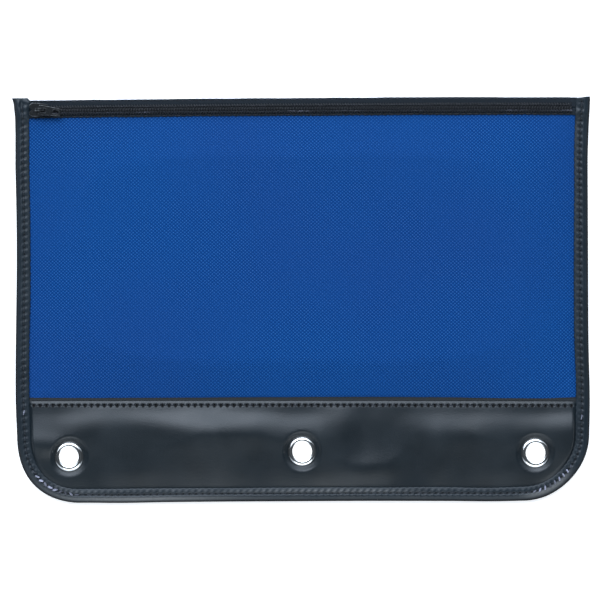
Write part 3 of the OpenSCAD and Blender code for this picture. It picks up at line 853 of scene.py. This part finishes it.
def binding_tape():
    """The folded tape in one length, pierced and puckered by its seam and wrinkled over the zipper."""
    s = stepped((0, LENGTH, 0.5))
    profile = np.array(OUTER + INNER)
    n_outer, count = len(OUTER), len(profile)
    ss, dd, zz, run = (grid.T for grid in swept(s, np.column_stack([profile, run_along(profile)])))
    top = zz > 2.0
    on_face = (np.arange(count)[None] < n_outer) & top
    end = np.minimum(ss, LENGTH - ss)
    left = ss < LENGTH / 2
    # painted shade: the needle holes and a line along the outermost fold are painted dark
    pit = smoothstep(0.3, 0.8, stitch_wave(ss, 0.62) * np.exp(-np.abs((dd - HOLE_D) / 0.5) ** 3)) * on_face
    pit = np.maximum(pit, 0.9 * smoothstep(1.15, 0.55, dd) * smoothstep(0.3, 1.0, zz))
    # painted highlights: the outer fold near both lower corners and the puckered lip along the bottom are
    # painted paler, where they catch the light
    low_left, low_right = LEG + ARC + 24, LENGTH - LEG - 0.72 * ARC
    fold = np.exp(-(((dd - 1.85) / 0.85) ** 2) - ((ss - low_left) / 39) ** 2)
    fold = fold + 0.85 * np.exp(-(((dd - 2.4) / 0.9) ** 2) - ((ss - low_right) / 13) ** 4)
    lip = lookup(ss - LENGTH / 2, LIP_SHEEN) * bell(dd, 4.9, 0.8)
    wear_and_sheen = on_face * (fold + lip * (0.6 + 0.4 * np.cos(TURN * (ss - 0.8 * dd) / PITCH)))
    # needle holes pull the face down, and the free edge scallops between them
    zz = zz - on_face * 0.42 * bell(dd, HOLE_D, 0.6) * stitch_wave(ss, 0.75)
    zz = zz + on_face * 0.12 * np.cos(TURN * ss / PITCH + math.pi) * bell(dd, 4.6, 0.8)
    # short slanting creases run from each hole towards the fold
    slant = np.where(left, ss - 0.9 * (THREAD_D - dd), ss + 0.9 * (THREAD_D - dd))
    zz = zz - on_face * 0.16 * stitch_wave(slant, 0.6) * smoothstep(1.3, 2.6, dd) * smoothstep(4.2, 3.4, dd)
    dd = dd + (dd > 5) * 0.10 * np.cos(TURN * ss / PITCH)
    # slow unevenness of a hand-fed seam
    dd = dd + 0.22 * value_noise(ss, 0 * ss, 23, 61) * (dd > 4.5) + 0.10 * value_noise(ss, 0 * ss, 47, 62)
    zz = zz + on_face * (0.10 * value_noise(ss, dd, 9, 63) + 0.05 * value_noise(ss, dd * 2, 3.1, 64))
    # over the ends of the zipper the tape is higher, flares out and wrinkles
    zz = zz + top * cap_share(ss) * CAP_RISE
    near_top = np.clip(1 - end / 11.0, 0, 1) ** 1.6
    dd = dd - np.clip(1 - dd / 7.0, 0, 1) * (near_top * 0.2 + 0.8 * np.exp(-end / 1.5)) * left
    dd = dd + (dd > 5) * near_top * np.where(left, 1.4, -0.2)
    crush = np.where(left, 1.0, 0.45) * np.clip(1 - end / 14.0, 0, 1)
    zz = zz + on_face * crush * (0.70 * value_noise(ss, dd * 1.3, 2.2, 65) - 0.1)
    dd = dd + crush * 0.25 * value_noise(ss, zz, 3.0, 66)
    x, y = along_edge(ss, dd)
    y = y + np.where(end < 3, (3 - end) / 3 * (0.25 * value_noise(dd, 0 * dd, 2.2, 67) - 0.1), 0)
    # the left end stands up to a point and its inner corner is cut away; the right end is squarer
    y = y + smoothstep(10, 0, end) * np.where(left, 0.75, 0.15 - 0.12 * dd)
    y = y - smoothstep(3.5, 0, end) * np.where(left, 1.4 * np.clip(dd - 6.6, 0, 2), 0)
    faces = grid_faces(len(s), count, wrap=True).tolist()
    # each cut end shows the folded tape as a thin U
    n_inner = count - 1 - n_outer
    for base in (0, (len(s) - 1) * count):
        for i in range(n_outer - 1):
            j, k = (n_outer + round(n_inner * (n_outer - m - i) / (n_outer - 1)) for m in (1, 2))
            quad = [base + i, base + i + 1, base + k] + ([base + j] if j != k else [])
            faces.append(quad if base else quad[::-1])
    obj = mesh_object("edge_binding_tape", xyz(x, y, zz), faces, xyz(ss, run), {"pit": pit, "wear_and_sheen": wear_and_sheen})
    return finish_piece(obj, BINDING, "bag", ["edge_binding"])


binding = binding_tape()

# ---- stitches

ALONG_X, UP, DOWN = (1, 0, 0), (0, 0, 1), (0, 0, -1)


def stitches(name, middles, along, up, length, radius, sink, replaces=(), tones_and_glints=None, jitter=0.06,
             half=0, skew=None, thick=1.0):
    """Stitches as short arched threads. middles is (n, 3); along and up are (n, 3) or (3,)."""
    n = len(middles)
    along, up = (np.broadcast_to(np.asarray(a, float), (n, 3)) for a in (along, up))
    local = np.random.default_rng(len(name) + n)
    u = np.linspace(-1, 1, 9)
    swing = local.normal(0, jitter, (n, 1, 1))
    reach = length / 2 * (1 + local.normal(0, 0.04, (n, 1, 1)))
    across = np.cross(up, along)
    if skew is not None:
        c, s = np.cos(skew)[:, None], np.sin(skew)[:, None]
        along, across = along * c + across * s, across * c - along * s
        reach = reach * (1 - 0.2 * np.abs(s[:, :, None]))
    arch = (1 - np.abs(u) ** 2.6)[None, :, None]
    paths = (
        middles[:, None]
        + along[:, None] * u[None, :, None] * reach
        + across[:, None] * (u[None, :, None] * swing * length)
        + up[:, None] * (arch * (sink + radius * 0.55) - sink)
    )
    radii = radius * (0.75 + 0.25 * (1 - u**4))[None] * np.broadcast_to(thick, n)[:, None]
    tones_and_glints = local.uniform(0.0, 0.04, n) if tones_and_glints is None else tones_and_glints
    obj = tubes(name, paths, radii, 7, up[:, None], {"tone_and_glint": tones_and_glints})
    finish_piece(obj, THREAD, "bag", replaces, half)


# along the top of the band, front and back
x = np.arange(-42, 43) * PITCH
x = x[np.abs(x) < INNER_X - 0.5]
z = band_z(x, np.full(x.shape, BAND_SEAM_Y)) - 0.12
stitches("band_seam_front", xyz(x, BAND_SEAM_Y, z), ALONG_X, UP, 2.35, 0.22, 0.45, ["band_stitching"])
stitches("band_seam_back", xyz(x, BAND_SEAM_Y, BACK_Z + 0.12), ALONG_X, DOWN, 2.4, 0.22, 0.35)


def binding_row(front):
    """Stitches round the edge, on the front or on the back."""
    s = (np.arange(int(LENGTH / PITCH)) + 0.5) * PITCH
    s = s[(s > 2.0) & (s < LENGTH - 2.0)]
    t = np.minimum(s, LENGTH - s)
    x0, y0 = along_edge(s - 0.2, THREAD_D)
    x1, y1 = along_edge(s + 0.2, THREAD_D)
    x, y = along_edge(s, THREAD_D)
    along = xyz(x1 - x0, y1 - y0, 0)
    along /= np.linalg.norm(along, axis=1, keepdims=True)
    squeeze = np.where((t > LEG) & (t < LEG + ARC), (CORNER_R - THREAD_D) / CORNER_R, 1)
    # round the two bottom corners the thread is looser, and is painted pale, as glints where it catches the
    # light
    local = np.random.default_rng(71)
    left = s < LENGTH / 2
    centre = np.where(left, LEG + ARC * 0.69, LEG + ARC * 0.64)
    corner = np.exp(-(((t - centre) / 12.5) ** 6))
    tone_and_glint = local.uniform(0.0, 0.05, len(s)) + corner * local.uniform(0.1, 1.0, len(s)) ** 1.3
    tone_and_glint = np.clip(tone_and_glint + 0.6 * (np.abs(y - GLINT_STITCH_Y) < PITCH / 2) * (t < LEG), 0, 1)
    skew = corner * np.where(left, local.uniform(-0.9, 0.9, len(s)), local.uniform(1.0, 1.5, len(s)))
    sizes = 2.3, 0.2, 0.4
    if front:
        z = FRONT_THREAD_Z + CAP_RISE * cap_share(s) + 0.42 * corner
        stitches("binding_seam_front", xyz(x, y, z), along * squeeze[:, None], UP, *sizes,
                 ["binding_stitching"], tone_and_glint, skew=skew, thick=1 + corner * np.where(left, 1.5, 1.1))
    else:
        stitches("binding_seam_back", xyz(x, y, BACK_THREAD_Z), along * squeeze[:, None], DOWN, *sizes,
                 tones_and_glints=tone_and_glint, skew=skew * 0.3)


binding_row(True)
binding_row(False)

# ---- zipper


def tape(name, side, x0, x1, node, half=0):
    """A zipper tape from x0 to x1. side is 1 above the chain and -1 below it."""
    reach, scallop = (4.7, 0.04) if side > 0 else (3.35, 0.10)
    profile = np.array([
        (0.12, -0.05), (0.2, 0.0), (1.3, 0.0), (2.2, 0.03), (reach - 0.9, 0.03), (reach - 0.55, -0.05),
        (reach - 0.2, 0.02), (reach, 0.0), (reach + 0.05, -0.15),
    ])
    x, a, dz = swept(stepped((x0, x1, 0.75)), profile)
    edge = scallop * np.cos(TURN * x / PITCH) + 0.10 * value_noise(x, 0 * x, 8, 81 + side)
    y = CHAIN_Y + side * (a + (a > reach - 0.3) * edge)
    z = TAPE_Z1 - 0.03 + dz - 0.12 * bell(a - reach + 0.5, 0, 0.3) * stitch_wave(x + PITCH / 2, 0.7)
    z = z + 0.06 * value_noise(x, a, 12, 83 + side)
    obj = sheet_piece(name, x, y, z, (x, a * side), TAPE_T, -1.0, flip=side < 0)
    finish_piece(obj, TAPE, "bag", [node], half)


TAPE_END = HALF_W - 1.6
tape("upper_tape_cloth", 1, -TAPE_END, TAPE_END, "upper_tape")
for side, label in SIDES:
    ends = sorted((side * TAPE_END, 0))
    tape("lower_tape_cloth_" + label, -1, *ends, "lower_tape", side)

COIL_START = coil_low[0] + 0.3
COIL_Z = TAPE_Z1 + 0.68
LOOPS = int((coil_high[0] - COIL_START) / COIL_PITCH) - 1
HALF_LOOPS = int(round(-COIL_START / COIL_PITCH))


def coil(name, side, first, last, node, half=0):
    """A wound filament. The loops of one side lie between those of the other, and meet at the middle."""
    per_loop = 14
    turn = np.arange((last - first) * per_loop + 1) / per_loop
    shift = 0.0 if side > 0 else 0.5
    c, s = np.cos(turn * TURN), np.sin(turn * TURN)
    # a flattened loop: long legs across, a tight bend at each end
    across = 0.78 + 1.22 * np.sign(c) * np.abs(c) ** 0.75
    z = COIL_Z + 0.36 * np.sign(s) * np.abs(s) ** 0.7
    x = COIL_START + (first + turn + shift) * COIL_PITCH + 0.12 * s
    radii = 0.245 + 0.05 * bell(c, -1, 0.35)
    obj = tubes(name, xyz(x, CHAIN_Y + side * across, z)[None], radii[None], 7, ALONG_X)
    finish_piece(obj, COIL, "bag", [node], half)


def coil_seam(name, side, first, last, half=0):
    """The thread that holds the coil to its tape, one stitch over each loop."""
    shift = 0.0 if side > 0 else 0.5
    x = COIL_START + (np.arange(first, last) + shift + 0.5) * COIL_PITCH
    n = len(x)
    y = CHAIN_Y + side * (1.32 + 0.08 * value_noise(x, 0 * x, 5, 91 + side))
    local = np.random.default_rng(93 + side)
    # painted glints: stitches of the lower seam are painted pale in patches, as highlights
    glint_patch = np.clip(value_noise(x, 0 * x, 9, 95 + side) + 0.1, 0, 1)
    bright = 0.30 if side < 0 else 0.03
    tone_and_glint = np.clip(local.uniform(0.0, 0.03, n) + glint_patch * local.uniform(0, 1, n) ** 2 * bright, 0, 1)
    stitches(name, xyz(x, y, COIL_Z + 0.58), ALONG_X, UP, 1.3, 0.17, 0.25, (), tone_and_glint, 0.05, half)


coil("upper_coil_filament", 1, 0, LOOPS, "upper_coil")
coil_seam("upper_coil_seam", 1, 0, LOOPS)
for (side, label), ends in zip(SIDES, ((0, HALF_LOOPS), (HALF_LOOPS, LOOPS))):
    coil("lower_coil_filament_" + label, -1, *ends, "lower_coil", side)
    coil_seam("lower_coil_seam_" + label, -1, *ends, side)

count = int(2 * (INNER_X - 0.8) / PITCH)
x = (np.arange(count) - (count - 1) / 2) * PITCH
TAPE_SEAM = ALONG_X, UP, 2.3, 0.17, 0.35
stitches("upper_tape_seam", xyz(x, CHAIN_Y + 4.1, TAPE_Z1 + 0.02), *TAPE_SEAM, ["upper_tape_stitching"])
for side, label in SIDES:
    middles = xyz(x[x * side > 0], CHAIN_Y - 2.85, TAPE_Z1 + 0.02)
    stitches("lower_tape_seam_" + label, middles, *TAPE_SEAM, ["lower_tape_stitching"], half=side)

# ---- slider and pull

SLIDER_X, SLIDER_Y = (slider_low[0] + slider_high[0]) / 2, (slider_low[1] + slider_high[1]) / 2
TAB_TURN = -7.5  # degrees, on the slack of its bridge
PIVOT = (tab_low[0] + 0.45, SLIDER_Y, (tab_low[2] + tab_high[2]) / 2)


def rounded(points, radius, steps=4):
    """A closed outline with its corners rounded, points in mm."""
    out = []
    points = [np.array(p, float) for p in points]
    for before, here, after in zip(points[-1:] + points[:-1], points, points[1:] + points[:1]):
        a, b = before - here, after - here
        r = min(radius, 0.45 * np.linalg.norm(a), 0.45 * np.linalg.norm(b))
        a, b = here + a / np.linalg.norm(a) * r, here + b / np.linalg.norm(b) * r
        for t in np.linspace(0, 1, steps):
            out.append((1 - t) ** 2 * a + 2 * t * (1 - t) * here + t * t * b)
    return out


def plate(outlines, z0, z1, bevel, turn=0.0, at=(0, 0)):
    """Points and faces of a flat plate with rounded edges. The first outline is its rim, the others are
    holes."""
    curve = bpy.data.curves.new("plate", "CURVE")
    curve.dimensions, curve.fill_mode = "2D", "BOTH"
    curve.extrude, curve.bevel_depth, curve.bevel_resolution = (z1 - z0) / 2 - bevel, bevel, 2
    curve.offset = -bevel
    c, s = math.cos(turn), math.sin(turn)
    for outline in outlines:
        spline = curve.splines.new("POLY")
        spline.points.add(len(outline) - 1)
        for point, (x, y) in zip(spline.points, outline):
            point.co = (x * c - y * s + at[0], x * s + y * c + at[1], 0, 1)
        spline.use_cyclic_u = True
    obj = new_object("plate", curve)
    mesh = obj.evaluated_get(bpy.context.evaluated_depsgraph_get()).to_mesh()
    points = np.array([v.co[:] for v in mesh.vertices]) + [0, 0, (z0 + z1) / 2]
    faces = [list(f.vertices) for f in mesh.polygons]
    bpy.data.objects.remove(obj, do_unlink=True)
    bpy.data.curves.remove(curve)
    return points, faces


def strap(path, half_width, half_thick, sides=12):
    """Points and faces of a flat bar along a path in the x-z plane, centred on y 0."""
    path = np.array(path)
    tangent = np.gradient(path, axis=0)
    tangent /= np.linalg.norm(tangent, axis=1, keepdims=True)
    angle = np.arange(sides) / sides * TURN
    c, s = np.cos(angle), np.sin(angle)
    wide = np.sign(c) * np.abs(c) ** 0.6 * half_width
    thick = np.sign(s) * np.abs(s) ** 0.6 * half_thick
    x, z = (path[:, None, i] + k * tangent[:, None, 1 - i] * thick for i, k in ((0, -1), (1, 1)))
    faces = grid_faces(len(path), sides, wrap=True).tolist()
    last = (len(path) - 1) * sides
    caps = [list(range(sides))[::-1], list(range(last, last + sides))]
    return xyz(x, wide[None], z).reshape(-1, 3), faces + caps


def casting(name, parts, wear, body, node):
    """One piece from several closed parts. wear(x, y, z, tilt) gives how much metal shows at a point."""
    points, faces, start = [], [], 0
    for p, f in parts:
        points.append(p)
        faces.extend([[i + start for i in face] for face in f])
        start += len(p)
    points = np.concatenate(points)
    obj = mesh_object(name, points, faces, settled=False)
    normals = np.empty(len(points) * 3, np.float32)
    obj.data.vertex_normals.foreach_get("vector", normals)
    normals = np.abs(normals.reshape(-1, 3))
    tilt = smoothstep(0.97, 0.80, normals.max(1))
    for polygon in obj.data.polygons:
        if abs(polygon.normal.z) > 0.99:
            tilt[list(polygon.vertices)] = 0
    set_points(obj.data, "wear", wear(*points.T, tilt))
    obj.data.polygons.foreach_set("use_smooth", [len(f) == 4 for f in faces])
    finish_piece(obj, ENAMEL, body, [node])


def slider_piece():
    sx, sy = SLIDER_X, SLIDER_Y
    roof0, roof1 = 5.1, 5.9
    left, right = slider_low[0] - sx, slider_high[0] - sx
    half = (slider_high[1] - slider_low[1]) / 2
    shell = [
        (left + 1.5, 0.0), (left + 0.15, 1.0), (left, 2.0), (left + 1.0, half - 0.25), (left + 2.2, half),
        (right - 3.0, half - 0.25), (right, half - 0.85),
    ]
    shell = rounded(shell + [(x, -y) for x, y in shell[:0:-1]], 0.7)
    parts = [plate([shell], roof0, roof1, 0.22, at=(sx, sy))]
    parts.append(plate([shell], slider_low[2], 2.85, 0.18, at=(sx, sy)))
    for side in (1, -1):
        rail = [
            (left + 0.9, half - 0.3), (left + 2.2, half), (right - 3.0, half - 0.25), (right, half - 0.85),
            (right, half - 1.6), (right - 3.0, half - 1.05), (left + 2.2, half - 0.8),
            (left + 1.1, half - 0.95),
        ]
        rail = rounded([(x, side * y) for x, y in rail][::side], 0.25)
        parts.append(plate([rail], 3.65, roof0 + 0.3, 0.16, at=(sx, sy)))
    angles = np.linspace(0, TURN, 16, endpoint=False)
    post = [(left + 1.9 + 0.75 * math.cos(a), 0.5 * math.sin(a)) for a in angles]
    parts.append(plate([post], 2.5, roof0 + 0.3, 0.1, at=(sx, sy)))
    px, pz = PIVOT[0], PIVOT[2]
    arch = [(px + 2.1 * math.sin(a), roof1 - 0.25 + (pz + 1.25 - 0.3 - roof1 + 0.25) * math.cos(a) ** 0.8)
            for a in np.linspace(-math.pi / 2 + 0.02, math.pi / 2 - 0.02, 25)]
    bridge, faces = strap(arch, 0.8, 0.3)
    parts.append((bridge + [0, sy, 0], faces))

    def wear(x, y, z, tilt):
        u, v = x - sx, y - sy
        shoulder = np.where(v > 0, smoothstep(1.2, 0.2, u), smoothstep(-0.8, -1.8, u))
        rims = tilt * (z > 5.2) * (0.12 + 1.3 * (shoulder * smoothstep(1.8, 2.6, np.abs(v))))
        return np.clip(rims + 0.9 * (z > 6.4) * smoothstep(-0.3, -0.7, v) * smoothstep(1.0, 0.0, u), 0, 1)

    casting("slider_casting", parts, wear, "slider", "slider_body")


def pull_piece():
    px, py, pz = PIVOT
    end = tab_high[0] - px
    rim = [(-0.45, -2.3), (0.9, -2.3), (end, -1.65), (end, 1.65), (0.9, 2.3), (-0.45, 2.3)]
    slot = [(0.45, -1.0), (0.45, 1.0), (3.0, 1.0), (3.0, -1.0)]
    window = [(6.3, -0.95), (6.3, 0.95), (9.0, 0.85), (9.0, -0.85)]
    turn = math.radians(TAB_TURN)
    outlines = [rounded(rim, 0.6), rounded(slot, 0.3), rounded(window, 0.3)]
    parts = [plate(outlines, pz - 0.42, pz + 0.42, 0.2, turn, (px, py - 0.15))]

    def wear(x, y, z, tilt):
        along = (x - px) * math.cos(turn) + (y - py) * math.sin(turn)
        return tilt * (z > pz) * np.where(along > 1.2, 0.8, np.where(y > py, 1.2, 0.2)) * (along < end - 0.3)

    casting("pull_tab_plate", parts, wear, "pull", "pull_tab")


slider_piece()
pull_piece()

# ---- eyelets


def lathe(name, profile, centre, node, segments=96):
    """A closed ring of plated metal, turned from (radius, height) points."""
    a, r, z = (grid.T for grid in swept(np.arange(segments) / segments * TURN, np.array(profile)))
    i, j = np.meshgrid(np.arange(segments), np.arange(len(profile)), indexing="ij")
    rows, nxt = i * len(profile), (i + 1) % segments * len(profile)
    k = (j + 1) % len(profile)
    faces = np.stack([rows + j, nxt + j, nxt + k, rows + k], -1).reshape(-1, 4)
    points = xyz(centre[0] + r * np.cos(a), centre[1] + r * np.sin(a), z)
    obj = mesh_object(name, points, faces, xyz(a * 6, j), settled=False)
    finish_piece(obj, NICKEL, "bag", [node])


WASHER = [
    (5.05, 0.36), (5.05, 0.6), (5.4, 0.68), (6.3, 0.66), (6.85, 0.5), (7.0, 0.25), (6.95, 0.05), (6.7, 0.05),
    (6.55, 0.2), (6.25, 0.34), (5.6, 0.44),
]
for (side, (_, high)), centre in zip(eyelet_boxes.items(), EYELETS):
    top = high[2]
    ring = [
        (4.40, 0.35), (4.40, 1.5), (4.40, top - 0.75), (4.46, top - 0.42), (4.66, top - 0.15),
        (5.0, top - 0.02), (5.45, top - 0.0), (5.95, top - 0.12), (6.4, top - 0.36), (6.8, top - 0.72),
        (7.05, top - 1.02), (7.1, top - 1.2), (6.98, top - 1.28), (6.7, top - 0.98), (6.2, top - 0.58),
        (5.6, top - 0.32), (5.0, top - 0.33), (4.72, top - 0.6), (4.68, 1.5), (4.7, 0.6), (5.1, 0.36),
        (5.6, 0.42), (5.95, 0.38), (6.0, 0.18), (5.7, 0.02), (5.2, 0.0), (4.7, 0.06), (4.48, 0.16),
    ]
    lathe("eyelet_ring_" + side, ring[::-1], centre, "eyelet_" + side)
    lathe("eyelet_washer_" + side, WASHER, centre, "washer_" + side)

# ---- floor, light, camera


def floor():
    size = 6.0 / MM
    points = [(-size, -size, 0), (size, -size, 0), (size, size, 0), (-size, size, 0)]
    obj = mesh_object("floor", points, [(0, 1, 2, 3)], smooth=False, settled=False)
    obj.location.z = -0.0002
    obj.data.materials.append(material_nodes("pale_floor").set(
        Base_Color=(0.92, 0.92, 0.92, 1.0), Roughness=0.8, Specular_IOR_Level=0.2,
        Emission_Color=(1.0, 1.0, 1.0, 1.0), Emission_Strength=0.55,
    ))
    obj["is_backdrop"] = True


floor()


def area_light(name, place, width, height, power, colour):
    """A rectangular light that looks at the middle of the bag."""
    light = bpy.data.lights.new(name, "AREA")
    light.shape = "RECTANGLE"
    light.size, light.size_y, light.energy, light.color = width, height, power, colour
    obj = new_object(name, light)
    obj.location, obj.rotation_mode = place, "QUATERNION"
    obj.rotation_quaternion = (-Vector(place)).to_track_quat("-Z", "Y")


area_light("key_above", (-0.25, 1.05, 1.65), 2.3, 1.45, 25, (0.84, 0.94, 1.08))
area_light("key_core", (-0.25, 0.95, 1.45), 1.5, 0.60, 13, (0.84, 0.94, 1.08))
area_light("fill_below", (0.1, -1.4, 1.25), 1.9, 1.1, 12.5, (0.90, 0.96, 1.0))

# bright walls in front and behind, dark to the sides, and a faint glow overhead
n = Nodes(bpy.data.worlds.new("studio"), "Background")
bpy.context.scene.world = n.holder
_, depth, height = n.axes(n.add("ShaderNodeTexCoord").outputs["Generated"])
low_down = n.ramp(height, 0.45, 0.90, 1.0, 0.0)
horizon = n.ramp(height, 0.03, 0.22)
overhead = n.ramp(height, 0.88, 0.97, 0.05, 0.085)
facing = n.ramp(n.math("MULTIPLY", depth, depth), 0.10, 0.50, 0.0, 1.1)
above = n.ramp(depth, 0.25, 0.55, 0.0, 0.8)
glow = n.math("MULTIPLY", n.math("ADD", facing, above), low_down)
glow = n.math("MULTIPLY_ADD", glow, horizon, overhead)
# the wall that the camera sees behind the floor is plain and pale
seen = n.add("ShaderNodeLightPath").outputs["Is Camera Ray"]
n.set(Color=(0.82, 0.95, 1.10, 1), Strength=n.math("MULTIPLY_ADD", seen, 0.9, glow))

CAMERA_HEIGHT = 1.3
VIEW_W = 0.27756
SENSOR = 36
camera = new_object("camera", bpy.data.cameras.new("camera"))
camera.data.sensor_width = SENSOR
camera.data.lens = SENSOR * (CAMERA_HEIGHT - 0.0035) / VIEW_W
camera.location = (-0.0007, -0.0002, CAMERA_HEIGHT)
camera.rotation_euler = (0, 0, math.radians(-0.25))
camera.data.clip_start, camera.data.clip_end = 0.05, 50
bpy.context.scene.camera = camera
bpy.context.scene.view_settings.view_transform = "Standard"

low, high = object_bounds()
